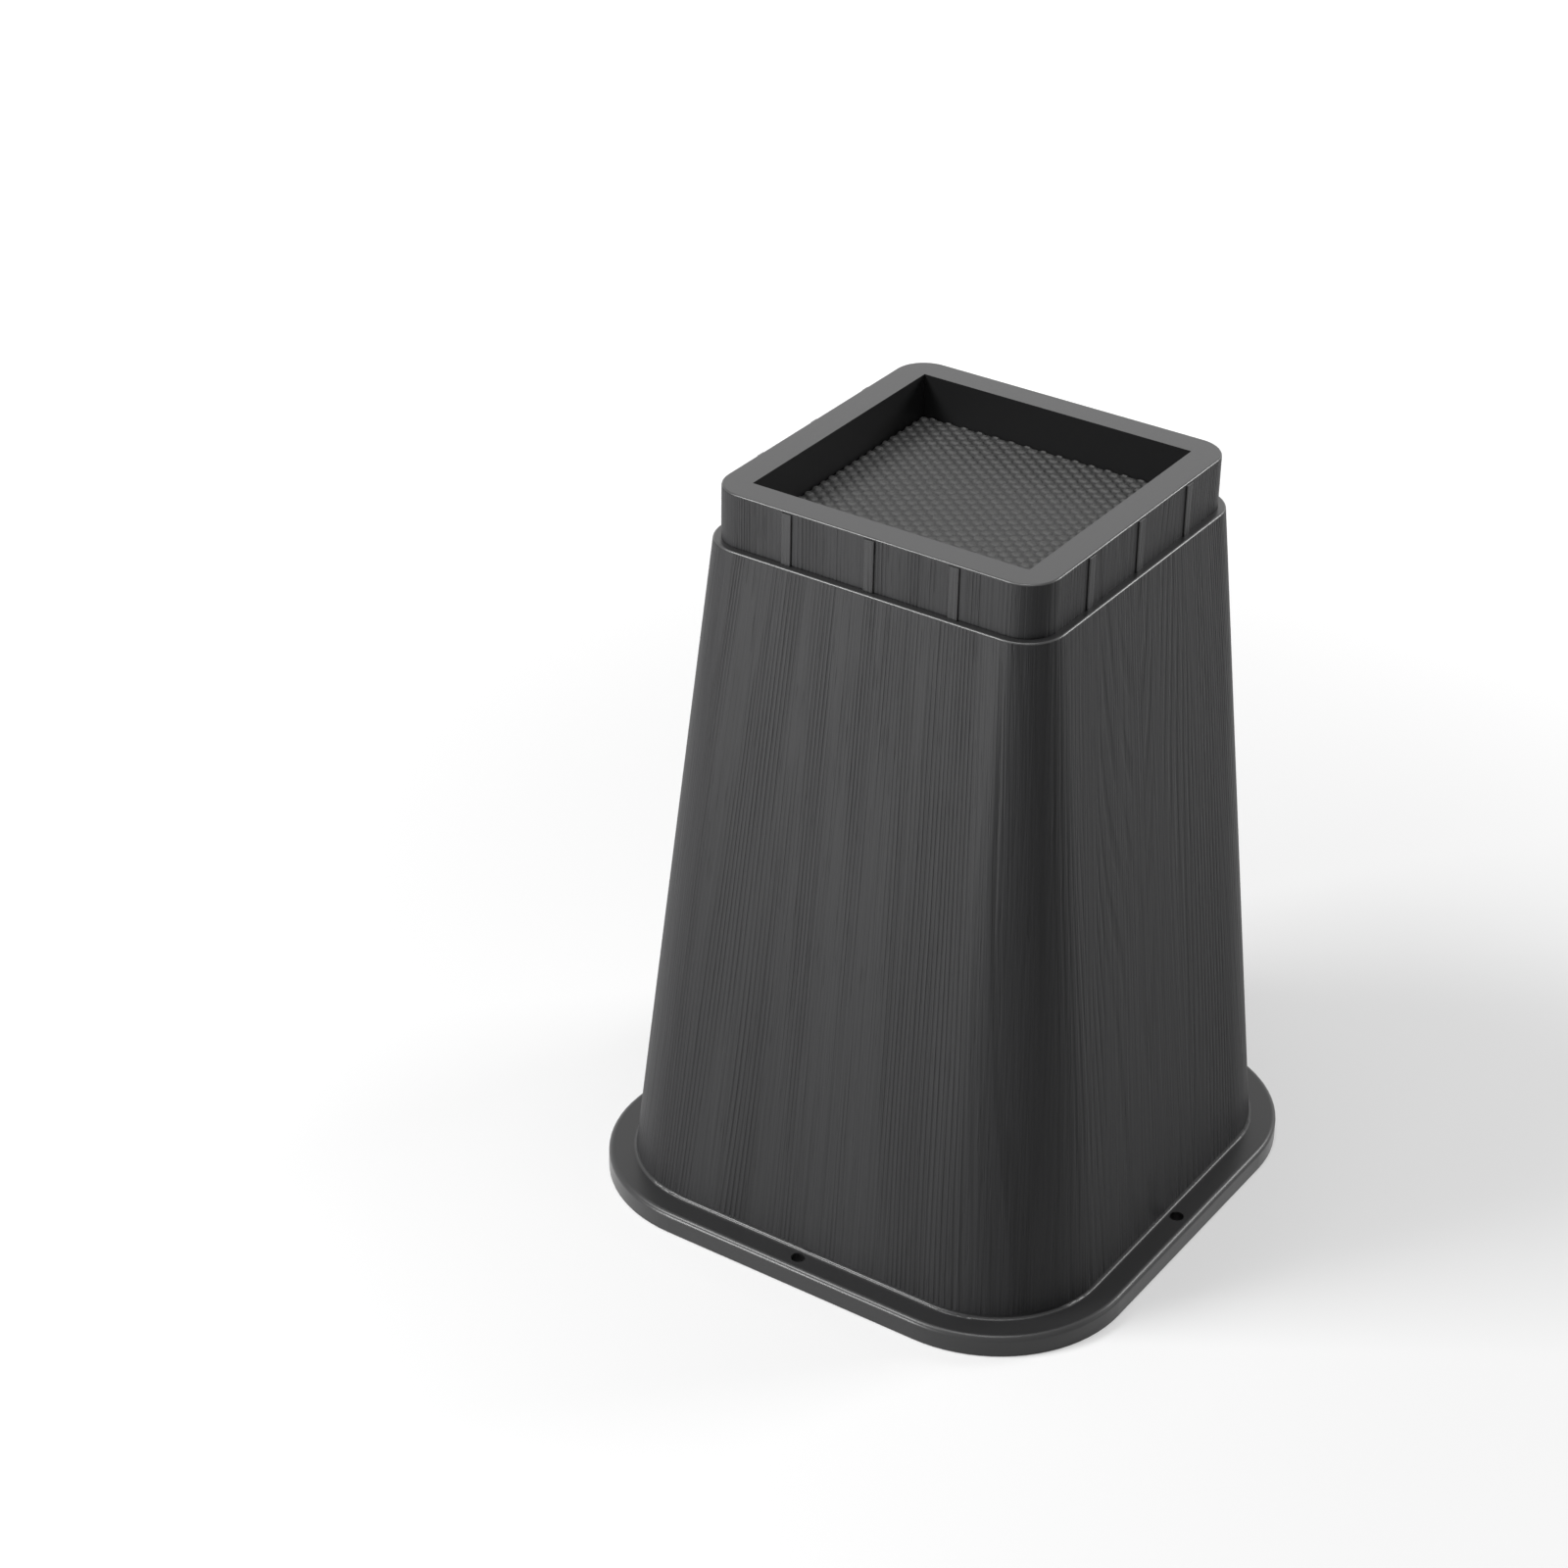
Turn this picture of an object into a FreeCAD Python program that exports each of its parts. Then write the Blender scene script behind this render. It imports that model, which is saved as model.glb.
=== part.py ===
import FreeCAD, Part
import Sketcher
import os
from math import hypot, pi

# Bed riser: a hollow tapered moulding that lifts a furniture leg, and the loose rubber pad in its socket.
# Millimetres, +Z up, origin on the floor at the middle of the foot.

doc = FreeCAD.newDocument("bed_riser")
sizes = doc.addObject("Spreadsheet::Sheet", "Sizes")

DRIVING_SIZES = {
    "lift_height": 203.2,       # floor to the top of the pad, the height the leg is raised
    "rim_reveal": 12.0,         # rim above the top of the pad
    "leg_opening": 82.3,        # clear width of the square socket
    "socket_wall": 2.6,         # inner wall of the hollow rim
    "rim_core": 2.75,           # hollow between the rim's two walls
    "wall": 3.0,                # outer shell, also the collar's outer wall
    "rim_skin": 3.0,            # top of the rim over its hollow
    "socket_floor": 3.5,        # plate that carries the pad
    "collar_height": 15.1,      # collar above the shoulder
    "collar_corner": 9.2,       # corner radius of the collar
    "shoulder": 2.1,            # step out from the collar to the tapered wall
    "foot_width": 145.4,        # tapered wall across the flats where it meets the flange
    "flange_reach": 7.8,        # flange beyond the wall
    "flange_thickness": 6.2,
    "flange_edge": 1.5,         # rounding of the flange's upper edge
    "foot_fillet": 0.8,         # hollow rounding between wall and flange
    "shoulder_edge": 0.7,       # rounding of the shoulder's outer edge
    "rim_edge": 0.6,            # rounding of the collar's outer upper edge
    "hole_diameter": 4.0,       # holes through the flange, one for each side
    "hole_offset": 3.0,         # hole's centre beyond the foot of the wall
    "rib_width": 3.0,           # low upright ribs on the collar
    "rib_pitch": 24.9,
    "rib_relief": 0.5,          # rib proud of the collar
    "rib_edge": 0.25,           # rounding of the ribs' upright edges
    "web_thickness": 2.5,       # crossed webs in the hollow under the socket
    "web_lift": 2.0,            # webs stop this far above the floor
    "pad_thickness": 3.0,
    "pad_clearance": 0.5,       # pad to socket wall on each side
}

for row, (alias, number) in enumerate(DRIVING_SIZES.items(), 1):
    sizes.set("A%d" % row, alias)
    sizes.set("B%d" % row, str(number))
    sizes.setAlias("B%d" % row, alias)
doc.recompute()

# Lengths that follow from the driving sizes, as expressions on the sheet
RIM_TOP = "(Sizes.lift_height + Sizes.rim_reveal)"
FLOOR_TOP = "(Sizes.lift_height - Sizes.pad_thickness)"
ROOF = "(%s - Sizes.socket_floor)" % FLOOR_TOP
SHOULDER_TOP = "(%s - Sizes.collar_height)" % RIM_TOP
SOCKET_OUTSIDE = "(Sizes.leg_opening + 2 * Sizes.socket_wall)"
CORE_OUTSIDE = "(%s + 2 * Sizes.rim_core)" % SOCKET_OUTSIDE
COLLAR_WIDTH = "(%s + 2 * Sizes.wall)" % CORE_OUTSIDE
SHOULDER_WIDTH = "(%s + 2 * Sizes.shoulder)" % COLLAR_WIDTH
SHOULDER_CORNER = "(Sizes.collar_corner + Sizes.shoulder)"
FOOT_CORNER = "(%s + (Sizes.foot_width - %s) / 2)" % (SHOULDER_CORNER, SHOULDER_WIDTH)
FLANGE_WIDTH = "(Sizes.foot_width + 2 * Sizes.flange_reach)"
FLANGE_CORNER = "(%s + Sizes.flange_reach)" % FOOT_CORNER
PAD_WIDTH = "(Sizes.leg_opening - 2 * Sizes.pad_clearance)"


def inset(height):
    """How far the inner face lies inside the outer foot of the wall at a height: the taper and the wall."""
    lean = "(Sizes.foot_width - %s) / 2 / (%s - Sizes.flange_thickness)" % (SHOULDER_WIDTH, SHOULDER_TOP)
    return "((%s - Sizes.flange_thickness) * %s + Sizes.wall)" % (height, lean)


def inside_width(height):
    return "(Sizes.foot_width - 2 * %s)" % inset(height)


def inside_corner(height):
    return "(%s - %s)" % (FOOT_CORNER, inset(height))


def value(expression):
    return float(sizes.evalExpression(expression))


def origin_feature(body, role):
    return [feature for feature in body.Origin.OriginFeatures if feature.Role == role][0]


def new_sketch(body, name, height=None, plane="XY_Plane"):
    """A sketch on one of the body's origin planes, lifted to a height where one is given."""
    sketch = body.newObject("Sketcher::SketchObject", name)
    sketch.AttachmentSupport = (origin_feature(body, plane), [""])
    sketch.MapMode = "FlatFace"
    if height:
        sketch.setExpression("AttachmentOffset.Base.z", height)
    return sketch


def dimension(sketch, name, expression, kind, *where):
    """A named dimension that follows the sheet."""
    index = sketch.addConstraint(Sketcher.Constraint(kind, *where, value(expression)))
    sketch.renameConstraint(index, name)
    sketch.setExpression("Constraints." + name, expression)


def closed_loop(sketch, corners):
    """Straight lines through the corners in order; gives the number of the first line."""
    first = sketch.GeometryCount
    count = len(corners)
    points = [FreeCAD.Vector(x, y, 0) for x, y in corners]
    for k in range(count):
        sketch.addGeometry(Part.LineSegment(points[k], points[(k + 1) % count]))
    for k in range(count):
        sketch.addConstraint(Sketcher.Constraint("Coincident", first + k, 2, first + (k + 1) % count, 1))
    return first


def box_loop(sketch, low, high):
    """An upright rectangle: bottom, right, top and left lines, in that order."""
    first = closed_loop(sketch, [low, (high[0], low[1]), high, (low[0], high[1])])
    for k, kind in enumerate(("Horizontal", "Vertical", "Horizontal", "Vertical")):
        sketch.addConstraint(Sketcher.Constraint(kind, first + k))
    return first


def square(sketch, width):
    """A square about the axis, with sharp corners."""
    half = value(width) / 2
    first = box_loop(sketch, (-half, -half), (half, half))
    sketch.addConstraint(Sketcher.Constraint("Symmetric", first, 1, first + 1, 2, -1, 1))
    sketch.addConstraint(Sketcher.Constraint("Equal", first, first + 1))
    dimension(sketch, "Width", width, "DistanceX", first, 1, first, 2)


def rounded_square(sketch, name, width, corner):
    """A square about the axis with four equal round corners: four sides, then four arcs."""
    half, radius = value(width) / 2, value(corner)
    flat = half - radius
    first = sketch.GeometryCount
    quarter_turns = [FreeCAD.Rotation(FreeCAD.Vector(0, 0, 1), 90 * k) for k in range(4)]
    for turn in quarter_turns:
        ends = [turn.multVec(FreeCAD.Vector(x, -half, 0)) for x in (-flat, flat)]
        sketch.addGeometry(Part.LineSegment(*ends))
    for k, turn in enumerate(quarter_turns):
        circle = Part.Circle(turn.multVec(FreeCAD.Vector(flat, -flat, 0)), FreeCAD.Vector(0, 0, 1), radius)
        sketch.addGeometry(Part.ArcOfCircle(circle, (k - 1) * pi / 2, k * pi / 2))
    for k in range(4):
        side, arc, next_side = first + k, first + 4 + k, first + (k + 1) % 4
        sketch.addConstraint(Sketcher.Constraint("Tangent", side, 2, arc, 1))
        sketch.addConstraint(Sketcher.Constraint("Tangent", arc, 2, next_side, 1))
        sketch.addConstraint(Sketcher.Constraint("Vertical" if k % 2 else "Horizontal", side))
        if k:
            sketch.addConstraint(Sketcher.Constraint("Equal", first + 4, arc))
    sketch.addConstraint(Sketcher.Constraint("Equal", first, first + 1))
    sketch.addConstraint(Sketcher.Constraint("Symmetric", first + 1, 1, first + 3, 1, -1, 1))
    dimension(sketch, name + "Width", width, "DistanceX", first + 3, 1, first + 1, 1)
    dimension(sketch, name + "Corner", corner, "Radius", first + 4)


def outline(body, name, height, width, corner):
    sketch = new_sketch(body, name, height)
    rounded_square(sketch, "Outline", width, corner)
    return sketch


def pad(body, name, sketch, length, symmetric=False):
    feature = body.newObject("PartDesign::Pad", name)
    feature.Profile = sketch
    feature.setExpression("Length", length)
    if symmetric:
        feature.SideType = "Symmetric"
    doc.recompute()
    return feature


def pocket(body, name, sketch, length=None, upward=False):
    """Cuts to a depth, or right through where none is given, and checks that it took something away."""
    before = body.Shape.Volume
    feature = body.newObject("PartDesign::Pocket", name)
    feature.Profile = sketch
    feature.Reversed = upward
    if length:
        feature.setExpression("Length", length)
    else:
        feature.Type = "ThroughAll"
    doc.recompute()
    if not feature.Shape.Volume < before:
        raise RuntimeError(name + " cuts nothing")
    return feature


def around_axis(body, name, feature, count):
    """Repeats a feature evenly about the upright axis."""
    pattern = body.newObject("PartDesign::PolarPattern", name)
    pattern.Originals = [feature]
    pattern.Axis = (origin_feature(body, "Z_Axis"), [""])
    pattern.Angle = 360
    pattern.Occurrences = count
    body.Tip = pattern
    doc.recompute()
    return pattern


def close(first, second):
    return abs(first - second) < 0.01


def round_edges(body, name, radius, wanted):
    """Rounds those edges of the body so far for which the test holds."""
    base = body.Tip
    feature = body.newObject("PartDesign::Fillet", name)
    feature.Base = (base, ["Edge%d" % k for k, edge in enumerate(base.Shape.Edges, 1) if wanted(edge)])
    feature.setExpression("Radius", radius)
    doc.recompute()
    return feature


def round_outline(body, name, height, width, corner, radius):
    """Rounds the edges that run along a rounded square at a height."""
    level, reach_of_arc = value(height), value(corner)
    flat = value(width) / 2 - reach_of_arc

    def on_outline(edge):
        middle = edge.valueAt((edge.FirstParameter + edge.LastParameter) / 2)
        reach = hypot(max(abs(middle.x) - flat, 0), max(abs(middle.y) - flat, 0))
        return close(reach, reach_of_arc) and all(close(vertex.Z, level) for vertex in edge.Vertexes)

    return round_edges(body, name, radius, on_outline)


def outer_form(body):
    """Flange, tapered wall with corners that widen downwards, and the stepped collar, with their edges."""
    flange = outline(body, "FlangeOutline", None, FLANGE_WIDTH, FLANGE_CORNER)
    pad(body, "Flange", flange, "Sizes.flange_thickness")
    foot = outline(body, "FootOutline", "Sizes.flange_thickness", "Sizes.foot_width", FOOT_CORNER)
    shoulder = outline(body, "ShoulderOutline", SHOULDER_TOP, SHOULDER_WIDTH, SHOULDER_CORNER)
    wall = body.newObject("PartDesign::AdditiveLoft", "TaperedWall")
    wall.Profile = foot
    wall.Sections = [shoulder]
    wall.Ruled = True
    doc.recompute()
    collar = outline(body, "CollarOutline", SHOULDER_TOP, COLLAR_WIDTH, "Sizes.collar_corner")
    pad(body, "Collar", collar, "Sizes.collar_height")
    round_outline(body, "RimEdge", RIM_TOP, COLLAR_WIDTH, "Sizes.collar_corner", "Sizes.rim_edge")
    round_outline(body, "ShoulderEdge", SHOULDER_TOP, SHOULDER_WIDTH, SHOULDER_CORNER, "Sizes.shoulder_edge")
    round_outline(body, "FlangeEdge", "Sizes.flange_thickness", FLANGE_WIDTH, FLANGE_CORNER,
                  "Sizes.flange_edge")
    round_outline(body, "FootFillet", "Sizes.flange_thickness", "Sizes.foot_width", FOOT_CORNER,
                  "Sizes.foot_fillet")


def collar_ribs(body):
    """Three low ribs on each side of the collar, from the shoulder up to the rounding of the rim."""
    sketch = new_sketch(body, "RibOutlines", SHOULDER_TOP)
    half, near = value("Sizes.rib_width") / 2, value(COLLAR_WIDTH) / 2 - value("Sizes.wall") / 2
    far, pitch = value(COLLAR_WIDTH) / 2 + value("Sizes.rib_relief"), value("Sizes.rib_pitch")
    middle, right, left = [box_loop(sketch, (x - half, near), (x + half, far)) for x in (0, pitch, -pitch)]
    root = "(%s - Sizes.wall) / 2" % COLLAR_WIDTH
    face = "%s / 2 + Sizes.rib_relief" % COLLAR_WIDTH
    for name, rib in (("Middle", middle), ("Right", right)):
        dimension(sketch, name + "Width", "Sizes.rib_width", "DistanceX", rib, 1, rib, 2)
        dimension(sketch, name + "Root", root, "DistanceY", -1, 1, rib, 1)
        dimension(sketch, name + "Face", face, "DistanceY", -1, 1, rib + 1, 2)
    dimension(sketch, "MiddleHalf", "Sizes.rib_width / 2", "DistanceX", -1, 1, middle, 2)
    dimension(sketch, "Pitch", "Sizes.rib_pitch", "DistanceX", middle, 1, right, 1)
    sketch.addConstraint(Sketcher.Constraint("Symmetric", right, 1, left, 2, -2))
    sketch.addConstraint(Sketcher.Constraint("Symmetric", right + 1, 2, left + 3, 1, -2))
    ribs = pad(body, "Ribs", sketch, "Sizes.collar_height - Sizes.rim_edge")
    around_axis(body, "RibsOnEachSide", ribs, 4)

    def on_rib_face(edge):
        low, high = edge.Vertexes[0], edge.Vertexes[-1]
        upright = close(low.X, high.X) and close(low.Y, high.Y)
        return upright and close(max(abs(low.X), abs(low.Y)), far)

    round_edges(body, "RibEdges", "Sizes.rib_edge", on_rib_face)


def hollows(body):
    """The leg socket from above; from below the tapered hollow and the groove up inside the rim."""
    socket = new_sketch(body, "SocketOutline", RIM_TOP)
    square(socket, "Sizes.leg_opening")
    pocket(body, "Socket", socket, "Sizes.rim_reveal + Sizes.pad_thickness")
    before = body.Shape.Volume
    mouth = outline(body, "HollowMouth", None, inside_width("0"), inside_corner("0"))
    roof = outline(body, "HollowRoof", ROOF, inside_width(ROOF), inside_corner(ROOF))
    hollow = body.newObject("PartDesign::SubtractiveLoft", "Hollow")
    hollow.Profile = mouth
    hollow.Sections = [roof]
    hollow.Ruled = True
    doc.recompute()
    if not hollow.Shape.Volume < before:
        raise RuntimeError("Hollow cuts nothing")
    core = new_sketch(body, "RimCoreOutline", ROOF)
    rounded_square(core, "Outer", CORE_OUTSIDE, "Sizes.collar_corner - Sizes.wall")
    rounded_square(core, "Inner", SOCKET_OUTSIDE, "Sizes.socket_wall")
    pocket(body, "RimCore", core, "%s - Sizes.rim_skin - %s" % (RIM_TOP, ROOF), upward=True)


def crossed_webs(body):
    """Two upright webs that cross on the axis and tie the socket floor to all four walls."""
    for name, plane in (("WebAlong", "XZ_Plane"), ("WebAcross", "YZ_Plane")):
        sketch = new_sketch(body, name + "Outline", plane=plane)
        bottom_width = inside_width("Sizes.web_lift") + " + Sizes.wall"
        top_width = inside_width(ROOF) + " + Sizes.wall"
        low, high = value("Sizes.web_lift"), value(ROOF)
        wide, narrow = value(bottom_width) / 2, value(top_width) / 2
        first = closed_loop(sketch, [(-wide, low), (wide, low), (narrow, high), (-narrow, high)])
        for line in (first, first + 2):
            sketch.addConstraint(Sketcher.Constraint("Symmetric", line, 1, line, 2, -2))
        dimension(sketch, "Bottom", bottom_width, "DistanceX", first, 1, first, 2)
        dimension(sketch, "Top", top_width, "DistanceX", first + 2, 2, first + 2, 1)
        dimension(sketch, "Lift", "Sizes.web_lift", "DistanceY", -1, 1, first, 1)
        dimension(sketch, "Roof", ROOF, "DistanceY", -1, 1, first + 2, 1)
        pad(body, name, sketch, "Sizes.web_thickness", symmetric=True)


def flange_holes(body):
    """A small hole through the flange at the middle of each side, close to the wall."""
    sketch = new_sketch(body, "HoleOutline")
    place = "Sizes.foot_width / 2 + Sizes.hole_offset"
    centre = FreeCAD.Vector(0, value(place), 0)
    sketch.addGeometry(Part.Circle(centre, FreeCAD.Vector(0, 0, 1), value("Sizes.hole_diameter") / 2))
    sketch.addConstraint(Sketcher.Constraint("PointOnObject", 0, 3, -2))
    dimension(sketch, "Place", place, "DistanceY", -1, 1, 0, 3)
    dimension(sketch, "Diameter", "Sizes.hole_diameter", "Diameter", 0)
    hole = pocket(body, "Hole", sketch, upward=True)
    around_axis(body, "HoleOnEachSide", hole, 4)


def make_riser():
    body = doc.addObject("PartDesign::Body", "riser_body")
    outer_form(body)
    collar_ribs(body)
    hollows(body)
    crossed_webs(body)
    flange_holes(body)
    return body


def make_pad():
    """A flat square of rubber on the socket floor."""
    body = doc.addObject("PartDesign::Body", "non_slip_pad")
    sheet_outline = new_sketch(body, "PadOutline", FLOOR_TOP)
    square(sheet_outline, PAD_WIDTH)
    pad(body, "PadSheet", sheet_outline, "Sizes.pad_thickness")
    return body


parts = [make_riser(), make_pad()]
doc.recompute()

for item in doc.Objects:
    if "Invalid" in item.State or "Error" in item.State:
        raise RuntimeError("%s failed: %s" % (item.Name, item.State))
for part in parts:
    if part.Shape.isNull() or not part.Shape.isValid():
        raise RuntimeError(part.Label + " has no valid shape")

os.makedirs("parts", exist_ok=True)
for part in parts:
    part.Shape.exportStep("parts/%s.step" % part.Label)
    box = part.Shape.BoundBox
    print("%s: %d solid, %.1f cm3, %.1f x %.1f x %.1f mm" % (
        part.Label, len(part.Shape.Solids), part.Shape.Volume / 1000, box.XLength, box.YLength, box.ZLength))
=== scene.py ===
import bmesh
import bpy
from math import radians, sqrt, tau
from mathutils import Matrix, Vector


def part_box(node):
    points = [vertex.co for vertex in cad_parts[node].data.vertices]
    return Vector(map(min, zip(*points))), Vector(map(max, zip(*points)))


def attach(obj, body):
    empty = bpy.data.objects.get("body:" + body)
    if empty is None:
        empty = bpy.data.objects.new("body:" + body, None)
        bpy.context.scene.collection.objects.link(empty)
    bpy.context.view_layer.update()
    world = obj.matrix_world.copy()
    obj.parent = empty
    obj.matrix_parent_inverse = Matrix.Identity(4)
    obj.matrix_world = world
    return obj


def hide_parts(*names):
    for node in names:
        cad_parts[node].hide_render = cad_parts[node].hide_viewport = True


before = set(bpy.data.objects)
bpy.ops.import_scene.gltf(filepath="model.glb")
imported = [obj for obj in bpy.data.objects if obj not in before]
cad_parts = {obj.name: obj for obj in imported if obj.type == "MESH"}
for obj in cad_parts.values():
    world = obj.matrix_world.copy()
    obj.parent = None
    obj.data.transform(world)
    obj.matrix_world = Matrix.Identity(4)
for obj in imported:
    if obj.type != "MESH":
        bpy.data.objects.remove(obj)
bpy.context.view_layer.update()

# Riser body: one black polypropylene injection moulding, hollow underneath, with a collar that holds the leg.
# The mould is etched with upright wood grain on the outer walls and left satin on rim, flange and edges.
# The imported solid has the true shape, so it stays and only gets its moulded finish.
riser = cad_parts["riser_body"]
riser_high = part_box("riser_body")[1]
flange_top = 0.0062
flange_reach = 0.0078
collar_height = 0.0151
collar_corner = 0.0092
rib_relief = 0.0005
corner_axis = 0.0403
shoulder_half = 0.0516
shoulder_top = riser_high.z - collar_height
foot_half = riser_high.x - flange_reach
middle_half = (foot_half + shoulder_half) / 2
wall_lean = (foot_half - shoulder_half) / (shoulder_top - flange_top)
growth_spacing = 0.0013
arch_bend = 8000.0
arches_per_metre = 30.0
arch_middle = -0.009
lines_of_sway = 5.0
grain_depth = 0.0002
late_wood_share = 0.5
pore_share = 0.2
etch_start = flange_top + 0.0006
etch_end = flange_top + 0.0016
edge_facing = 0.80
wall_facing = 0.97
rib_shine = 0.13
flange_polish = 0.6
polish_rise = 0.02
satin_roughness = 0.36
etched_roughness = 0.48
fibre_roughness = 0.08
wall_reflection = 0.17
satin_coat_roughness = 0.3
satin_coat_ior = 1.45
WALL_DARK = (0.012, 0.012, 0.0125, 1.0)
WALL_LIGHT = (0.024, 0.024, 0.025, 1.0)
SATIN_BLACK = (0.020, 0.020, 0.0205, 1.0)


def add_node(tree, kind, settings={}, sockets={}):
    """A new node with its settings, and each socket either set to a value or linked from another node."""
    made = tree.nodes.new(kind)
    for name, value in settings.items():
        setattr(made, name, value)
    for key, value in sockets.items():
        if isinstance(value, bpy.types.NodeSocket):
            tree.links.new(value, made.inputs[key])
        else:
            made.inputs[key].default_value = value
    return made


def combine(tree, operation, *values):
    """The result of a Math node on one to three numbers."""
    made = add_node(tree, "ShaderNodeMath", {"operation": operation}, dict(enumerate(values)))
    return made.outputs[0]


def combine_vectors(tree, operation, *values, scale=1.0):
    """The result of a Vector Math node, which is a number for a dot product or a length."""
    sockets = dict(enumerate(values))
    sockets[3] = scale
    made = add_node(tree, "ShaderNodeVectorMath", {"operation": operation}, sockets)
    return made.outputs[1 if operation in ("DOT_PRODUCT", "LENGTH") else 0]


def soft_step(tree, value, low, high, start=0.0, end=1.0):
    """A smooth change from start to end while the value goes from low to high."""
    made = add_node(tree, "ShaderNodeMapRange", {"interpolation_type": "SMOOTHSTEP"},
                    {0: value, 1: low, 2: high, 3: start, 4: end})
    return made.outputs[0]


def noise(tree, place, width, detail):
    """Cloudy noise whose largest features are about so many metres across."""
    sockets = {"Vector": place, "Scale": 1.0 / width, "Detail": detail}
    return add_node(tree, "ShaderNodeTexNoise", {}, sockets).outputs[0]


def blend_colours(tree, share, first, second):
    """A colour between two, by a share from 0 to 1."""
    return add_node(tree, "ShaderNodeMix", {"data_type": "RGBA"}, {0: share, 6: first, 7: second}).outputs[2]


black_moulding = bpy.data.materials.new("black_moulding")
black_moulding.use_nodes = True
tree = black_moulding.node_tree
plastic = tree.nodes["Principled BSDF"]
place = add_node(tree, "ShaderNodeTexCoord")
spot = place.outputs["Object"]

# The grain narrows with the taper: each level is brought to the width that the walls have half way up.
flat = combine_vectors(tree, "MULTIPLY", spot, (1.0, 1.0, 0.0))
upright = combine_vectors(tree, "SUBTRACT", spot, flat)
height = combine_vectors(tree, "DOT_PRODUCT", spot, (0.0, 0.0, 1.0))
level = combine(tree, "MINIMUM", height, shoulder_top)
half_width = combine(tree, "MULTIPLY_ADD", level, -wall_lean, foot_half + wall_lean * flange_top)
ring = combine_vectors(tree, "SCALE", flat, scale=combine(tree, "DIVIDE", middle_half, half_width))


def grain_noise(width, length, detail):
    """Noise that lies along the grain, with features that wide across the wall and that long up it."""
    climb = combine_vectors(tree, "SCALE", upright, scale=width / length)
    return noise(tree, combine_vectors(tree, "ADD", ring, climb), width, detail)


# Etched where a face looks straight out from the corner axes, a little less on the ribs, and satin elsewhere.
core = combine_vectors(tree, "MINIMUM", flat, (corner_axis, corner_axis, 0.0))
core = combine_vectors(tree, "MAXIMUM", core, (-corner_axis, -corner_axis, 0.0))
spoke = combine_vectors(tree, "SUBTRACT", flat, core)
outward = combine_vectors(tree, "NORMALIZE", spoke)
facing = combine_vectors(tree, "DOT_PRODUCT", outward, place.outputs["Normal"])
walls = combine(tree, "MULTIPLY", soft_step(tree, facing, edge_facing, wall_facing),
                soft_step(tree, height, etch_start, etch_end))
rib_low = collar_corner + 0.4 * rib_relief
rib_high = collar_corner + 0.8 * rib_relief
ribs = combine(tree, "MULTIPLY", soft_step(tree, combine_vectors(tree, "LENGTH", spoke), rib_low, rib_high),
               soft_step(tree, height, shoulder_top, shoulder_top + 0.0001))
etched = combine(tree, "MULTIPLY", walls, combine(tree, "MULTIPLY_ADD", ribs, -rib_shine, 1.0))

# Growth lines run straight up the front and back walls and close into nested arches on the side walls.
# Short pores and fine fibres lie between them.
across = combine_vectors(tree, "DOT_PRODUCT", ring, (1.0 / growth_spacing, 0.0, 0.0))
along = combine_vectors(tree, "MULTIPLY", ring, (0.0, 1.0, 0.0))
along = combine_vectors(tree, "SUBTRACT", along, (0.0, arch_middle, 0.0))
bow = combine_vectors(tree, "DOT_PRODUCT", along, along)
sideways = combine(tree, "ABSOLUTE", combine_vectors(tree, "DOT_PRODUCT", ring, (1.0, 0.0, 0.0)))
side_walls = soft_step(tree, sideways, 0.65 * middle_half, middle_half)
climb = combine(tree, "MULTIPLY", height, side_walls)
sway = grain_noise(width=0.026, length=0.208, detail=1.0)
phase = combine(tree, "MULTIPLY_ADD", bow, arch_bend, across)
phase = combine(tree, "MULTIPLY_ADD", climb, -arches_per_metre, phase)
phase = combine(tree, "MULTIPLY_ADD", sway, lines_of_sway, phase)
growth = combine(tree, "SINE", combine(tree, "MULTIPLY", phase, tau))
clusters = soft_step(tree, grain_noise(width=0.010, length=0.200, detail=1.5), 0.42, 0.62, 0.1, 1.0)
late_wood = combine(tree, "MULTIPLY", soft_step(tree, growth, -0.2, 1.0), clusters)
pores = soft_step(tree, grain_noise(width=0.0009, length=0.0144, detail=1.0), 0.62, 0.74)
fibres = grain_noise(width=0.0008, length=0.064, detail=2.0)
bands = grain_noise(width=0.014, length=0.336, detail=2.0)
lines = combine(tree, "MULTIPLY_ADD", late_wood, -late_wood_share, fibres)
lines = combine(tree, "MULTIPLY_ADD", pores, -pore_share, lines)
relief = combine(tree, "MULTIPLY", lines, etched)
bump = add_node(tree, "ShaderNodeBump", {}, {"Height": relief, "Distance": grain_depth})
tree.links.new(bump.outputs[0], plastic.inputs["Normal"])

tone = combine(tree, "MULTIPLY_ADD", bands, 0.5, combine(tree, "MULTIPLY", lines, 0.7))
walls_colour = blend_colours(tree, soft_step(tree, tone, 0.05, 0.85), WALL_DARK, WALL_LIGHT)
tree.links.new(blend_colours(tree, etched, SATIN_BLACK, walls_colour), plastic.inputs["Base Color"])
rough = combine(tree, "MULTIPLY_ADD", etched, etched_roughness - satin_roughness, satin_roughness)
tree.links.new(combine(tree, "MULTIPLY_ADD", fibres, fibre_roughness, rough), plastic.inputs["Roughness"])
plastic.inputs["Specular IOR Level"].default_value = wall_reflection
polish = soft_step(tree, height, flange_top, flange_top + polish_rise, flange_polish, 1.0)
polish = combine(tree, "MULTIPLY", polish, soft_step(tree, facing, -0.6, -0.2))
satin = combine(tree, "SUBTRACT", 1.0, etched)
tree.links.new(combine(tree, "MULTIPLY", satin, polish), plastic.inputs["Coat Weight"])
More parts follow.
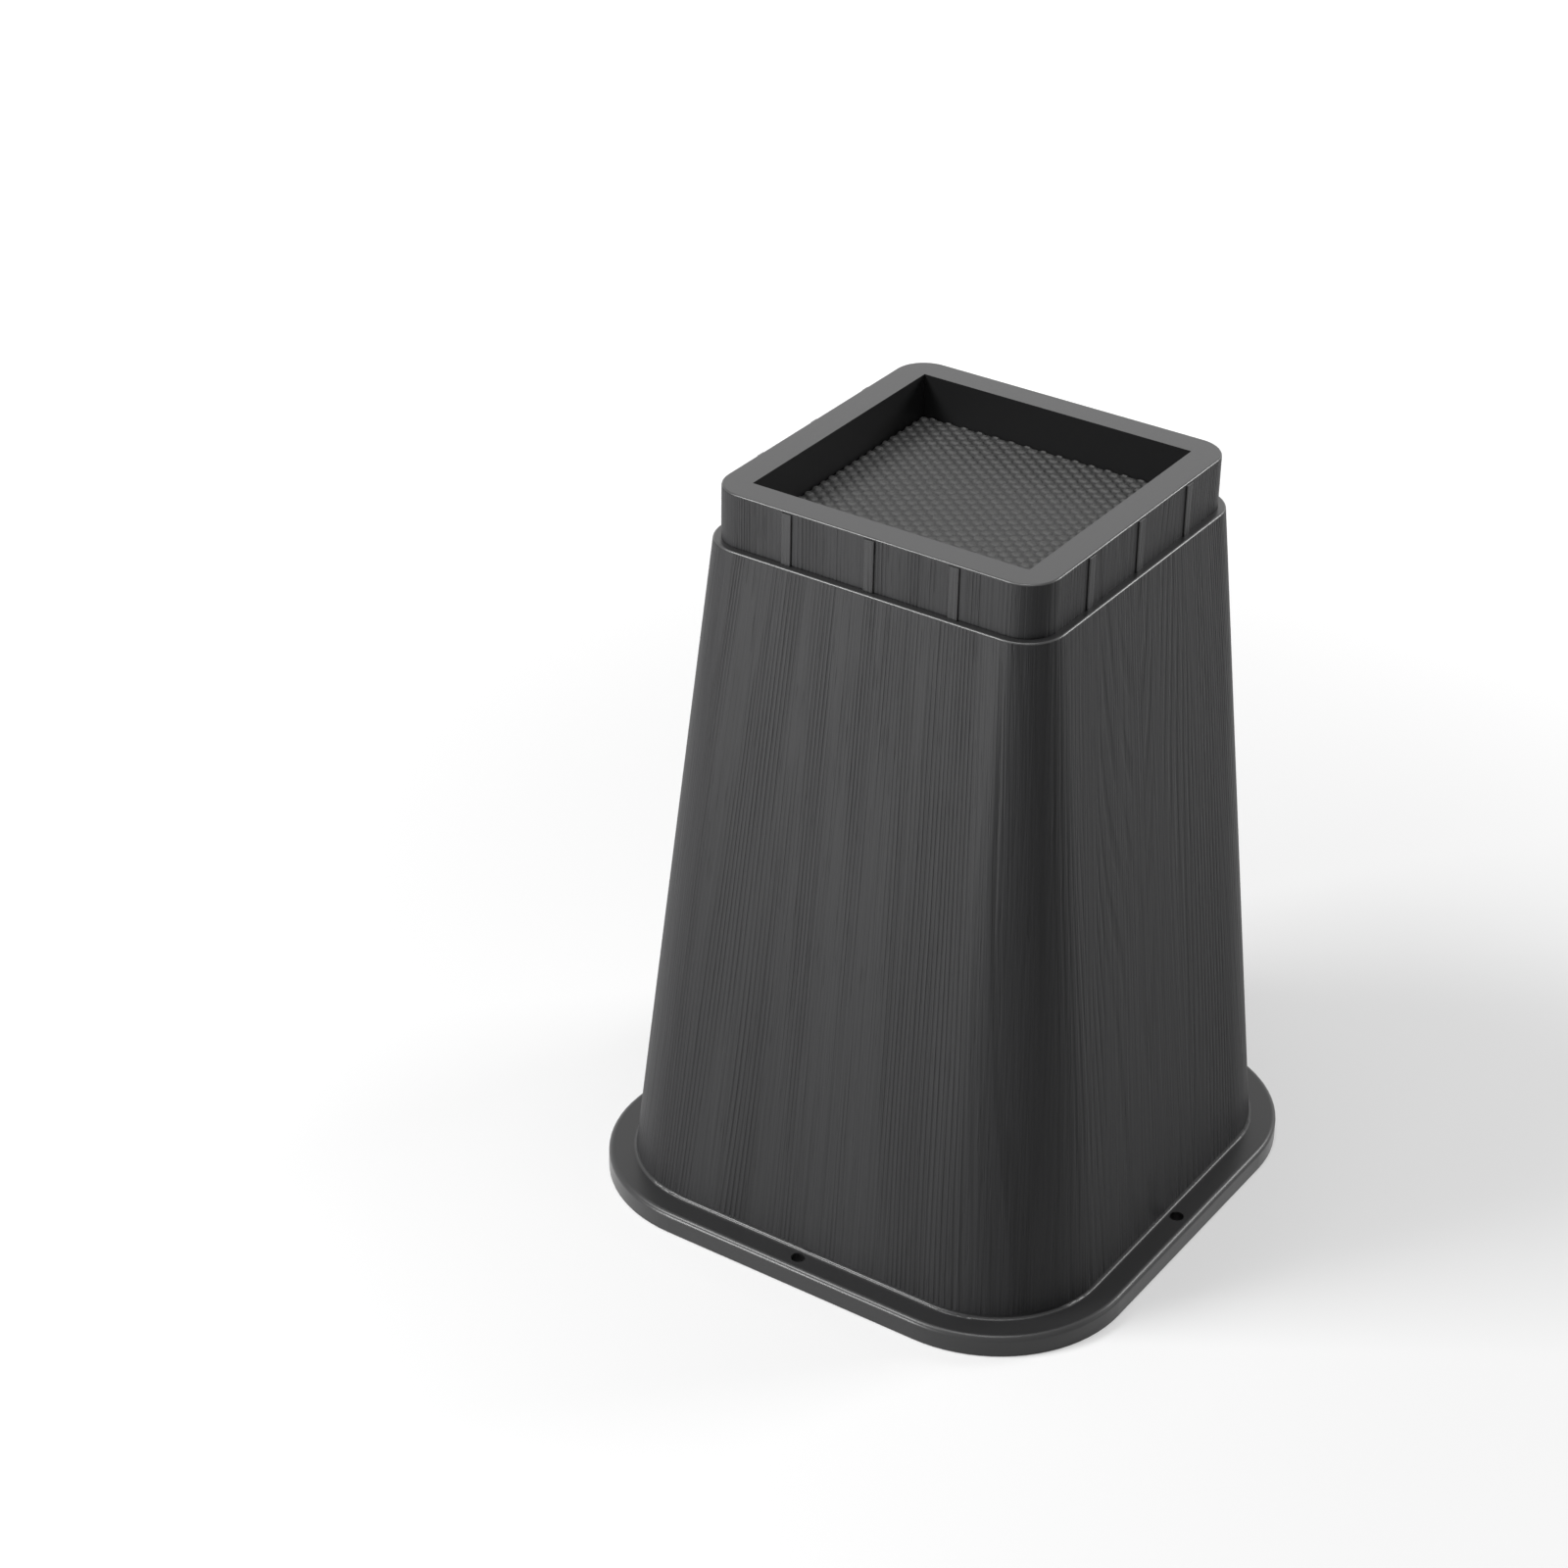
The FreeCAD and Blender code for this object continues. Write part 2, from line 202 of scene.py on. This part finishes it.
plastic.inputs["Coat Roughness"].default_value = satin_coat_roughness
plastic.inputs["Coat IOR"].default_value = satin_coat_ior
riser.material_slots[0].material = black_moulding

# Non-slip pad: a square die-cut from a sheet of black rubber, laid loose on the floor of the socket.
# The sheet is rolled with a close pattern of raised lozenges, which the knife cuts through at the edges.
pad_low, pad_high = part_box("non_slip_pad")
pad_width = pad_high.x - pad_low.x
diamond_length = 0.0050
diamond_width = 0.00375
diamond_rise = 0.0005
corner_cut = 0.0009
steps_up = ((0.00015, 0.0), (0.00035, 0.62), (0.00025, 0.28), (0.00020, 0.10))
sides = (Vector((1, 0, 0)), Vector((-1, 0, 0)), Vector((0, 1, 0)), Vector((0, -1, 0)))
cells = 2 * round(pad_width / diamond_width)


def trim(mesh, half_width):
    """Cuts a sheet square, as the knife does, and drops what is outside."""
    for side in sides:
        whole = mesh.verts[:] + mesh.edges[:] + mesh.faces[:]
        bmesh.ops.bisect_plane(mesh, geom=whole, plane_co=side * half_width, plane_no=side, clear_outer=True)


sheet = bmesh.new()
bmesh.ops.create_grid(sheet, x_segments=cells, y_segments=cells, size=cells / sqrt(8))
bmesh.ops.rotate(sheet, verts=sheet.verts, matrix=Matrix.Rotation(radians(45), 3, "Z"))
bmesh.ops.scale(sheet, verts=sheet.verts, vec=(diamond_length, diamond_width, 1.0))
bmesh.ops.translate(sheet, verts=sheet.verts, vec=(0.0, 0.0, pad_high.z - diamond_rise))
trim(sheet, pad_width / 2 + diamond_length)
bmesh.ops.bevel(sheet, geom=sheet.verts[:], offset=corner_cut, affect="VERTICES", segments=1, profile=0.5,
                material=-1)

# Each step goes so far in from a lozenge's edge and up by that share of its rise.
lozenges = [face for face in sheet.faces if len(face.verts) == 8]
for inset, share in steps_up:
    bmesh.ops.inset_individual(sheet, faces=lozenges, thickness=inset, depth=share * diamond_rise)
trim(sheet, pad_width / 2)
cut_edge = [edge for edge in sheet.edges if edge.is_boundary]
skirt = bmesh.ops.extrude_edge_only(sheet, edges=cut_edge)["geom"]
for corner in (item for item in skirt if isinstance(item, bmesh.types.BMVert)):
    corner.co.z = pad_low.z
bmesh.ops.contextual_create(sheet, geom=[item for item in skirt if isinstance(item, bmesh.types.BMEdge)])
bmesh.ops.recalc_face_normals(sheet, faces=sheet.faces)
for face in sheet.faces:
    face.smooth = face.normal.z > 0.1
pad_mesh = bpy.data.meshes.new("diamond_pad")
sheet.to_mesh(pad_mesh)
sheet.free()
pad = bpy.data.objects.new("diamond_pad", pad_mesh)
bpy.context.scene.collection.objects.link(pad)

GROOVE_PAINTED_SHADE = (0.022, 0.022, 0.022, 1.0)
RUBBER_DARK = (0.024, 0.024, 0.024, 1.0)
RUBBER_LIGHT = (0.055, 0.055, 0.054, 1.0)
speckle_width = 0.0008
speckle_depth = 0.00005
black_rubber = bpy.data.materials.new("black_rubber")
black_rubber.use_nodes = True
tree = black_rubber.node_tree
rubber = tree.nodes["Principled BSDF"]
spot = add_node(tree, "ShaderNodeTexCoord").outputs["Object"]
speckle = noise(tree, spot, speckle_width, 2.0)
height = combine_vectors(tree, "DOT_PRODUCT", spot, (0.0, 0.0, 1.0))
# The grooves between the lozenges take a darker colour than the raised tops: painted shade in the recesses.
raised = soft_step(tree, height, pad_high.z - diamond_rise, pad_high.z - 0.3 * diamond_rise)
face_colour = blend_colours(tree, soft_step(tree, speckle, 0.35, 0.65), RUBBER_DARK, RUBBER_LIGHT)
tree.links.new(blend_colours(tree, raised, GROOVE_PAINTED_SHADE, face_colour), rubber.inputs["Base Color"])
tree.links.new(soft_step(tree, speckle, 0.3, 0.7, 0.5, 0.68), rubber.inputs["Roughness"])
bump = add_node(tree, "ShaderNodeBump", {}, {"Height": speckle, "Distance": speckle_depth})
tree.links.new(bump.outputs[0], rubber.inputs["Normal"])
pad_mesh.materials.append(black_rubber)
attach(pad, "root")
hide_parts("non_slip_pad")

# Floor: a plain sheet of white paper just under the riser, only there for the picture.
# Seen directly or in a reflection it is lifted to white, less so near the riser, where the weaker lift is
# painted shade; the riser's soft shadow stays on it too.
# From below it is clear, so that the hollow underside can be looked at.
floor_half = 4.0
floor_gap = 0.0002
painted_shade_radius = 0.15
pale_radius = 0.80
lift_near = 0.38
lift_far = 0.92
paper = bmesh.new()
bmesh.ops.create_grid(paper, x_segments=1, y_segments=1, size=floor_half)
bmesh.ops.translate(paper, verts=paper.verts, vec=(0.0, 0.0, -floor_gap))
floor_mesh = bpy.data.meshes.new("paper_floor")
paper.to_mesh(floor_mesh)
paper.free()
floor = bpy.data.objects.new("paper_floor", floor_mesh)
bpy.context.scene.collection.objects.link(floor)
white_paper = bpy.data.materials.new("white_paper")
white_paper.use_nodes = True
tree = white_paper.node_tree
paper_face = tree.nodes["Principled BSDF"]
paper_face.inputs["Base Color"].default_value = (0.5, 0.5, 0.5, 1.0)
paper_face.inputs["Roughness"].default_value = 0.9
paper_face.inputs["Specular IOR Level"].default_value = 0.0
paper_face.inputs["Emission Color"].default_value = (1.0, 1.0, 1.0, 1.0)


def seen(tree):
    """1 for a ray from the camera, a reflection or a clear pane, and 0 for one that only carries light."""
    path = add_node(tree, "ShaderNodeLightPath").outputs
    direct = combine(tree, "MAXIMUM", path["Is Camera Ray"], path["Is Glossy Ray"])
    return combine(tree, "MAXIMUM", direct, path["Is Transmission Ray"])


spot = add_node(tree, "ShaderNodeTexCoord").outputs["Object"]
radius = combine_vectors(tree, "LENGTH", spot)
# The lift is lowest within the inner radius and rises to nearly white at the outer one: a painted darkening
# of the paper round the riser, which also dims what the walls reflect.
lift = soft_step(tree, radius, painted_shade_radius, pale_radius, lift_near, lift_far)
tree.links.new(combine(tree, "MULTIPLY", seen(tree), lift), paper_face.inputs["Emission Strength"])
from_below = add_node(tree, "ShaderNodeNewGeometry").outputs["Backfacing"]
clear = add_node(tree, "ShaderNodeBsdfTransparent").outputs[0]
one_sided = add_node(tree, "ShaderNodeMixShader", {}, {0: from_below, 1: paper_face.outputs[0], 2: clear})
tree.links.new(one_sided.outputs[0], tree.nodes["Material Output"].inputs["Surface"])
floor_mesh.materials.append(white_paper)

# Room: a plain white surround, white to look at and in reflections.
# It gives only a little light of its own, so that the lamps shape the walls.
room = bpy.data.worlds.new("white_room")
room.use_nodes = True
tree = room.node_tree
room_light = 0.05
walls_of_room = tree.nodes["Background"]
walls_of_room.inputs["Color"].default_value = (1.0, 1.0, 1.0, 1.0)
tree.links.new(combine(tree, "MAXIMUM", seen(tree), room_light), walls_of_room.inputs["Strength"])
bpy.context.scene.world = room

# Lamps: two low strips near the paper give the walls their slow shine, and a box overhead lights rim and pad.
# A box high on the left and one behind draw the thin light lines along the rounded edges.
# Each has its bearing from the front, its distance, its height, its width, its depth and its power.
aim = Vector((0.0, 0.0, 0.1))
soft_boxes = {
    "front_strip": (-25, 0.65, 0.09, 0.24, 0.14, 3.3),
    "right_strip": (114, 0.65, 0.09, 0.28, 0.14, 0.2),
    "left_box": (-46, 0.84, 1.08, 0.40, 0.40, 12.0),
    "back_box": (145, 1.12, 0.65, 0.40, 0.40, 6.0),
    "top_box": (0, 0.10, 1.40, 0.60, 0.60, 7.0),
}
for name, (bearing, reach, rise, width, depth, power) in soft_boxes.items():
    lamp = bpy.data.lights.new(name, "AREA")
    lamp.shape = "RECTANGLE"
    lamp.size = width
    lamp.size_y = depth
    lamp.energy = power
    box = bpy.data.objects.new(name, lamp)
    box.location = Matrix.Rotation(radians(bearing), 3, "Z") @ Vector((0.0, -reach, rise))
    box.rotation_euler = (box.location - aim).to_track_quat("Z", "Y").to_euler()
    box.visible_camera = False
    bpy.context.scene.collection.objects.link(box)

# Camera: a long lens at the photograph's own place, found by fitting the riser's edges to it.
# It looks down from the front right, so that two walls, the rim and the pad show.
lens = bpy.data.cameras.new("photo_camera")
lens.sensor_width = 36.0
lens.lens = 84.36
eye = bpy.data.objects.new("photo_camera", lens)
eye.location = (0.4356, -0.7397, 0.6311)
eye.rotation_euler = (radians(59.135), radians(-0.77), radians(34.15))
bpy.context.scene.collection.objects.link(eye)
bpy.context.scene.camera = eye
bpy.context.scene.view_settings.view_transform = "Standard"
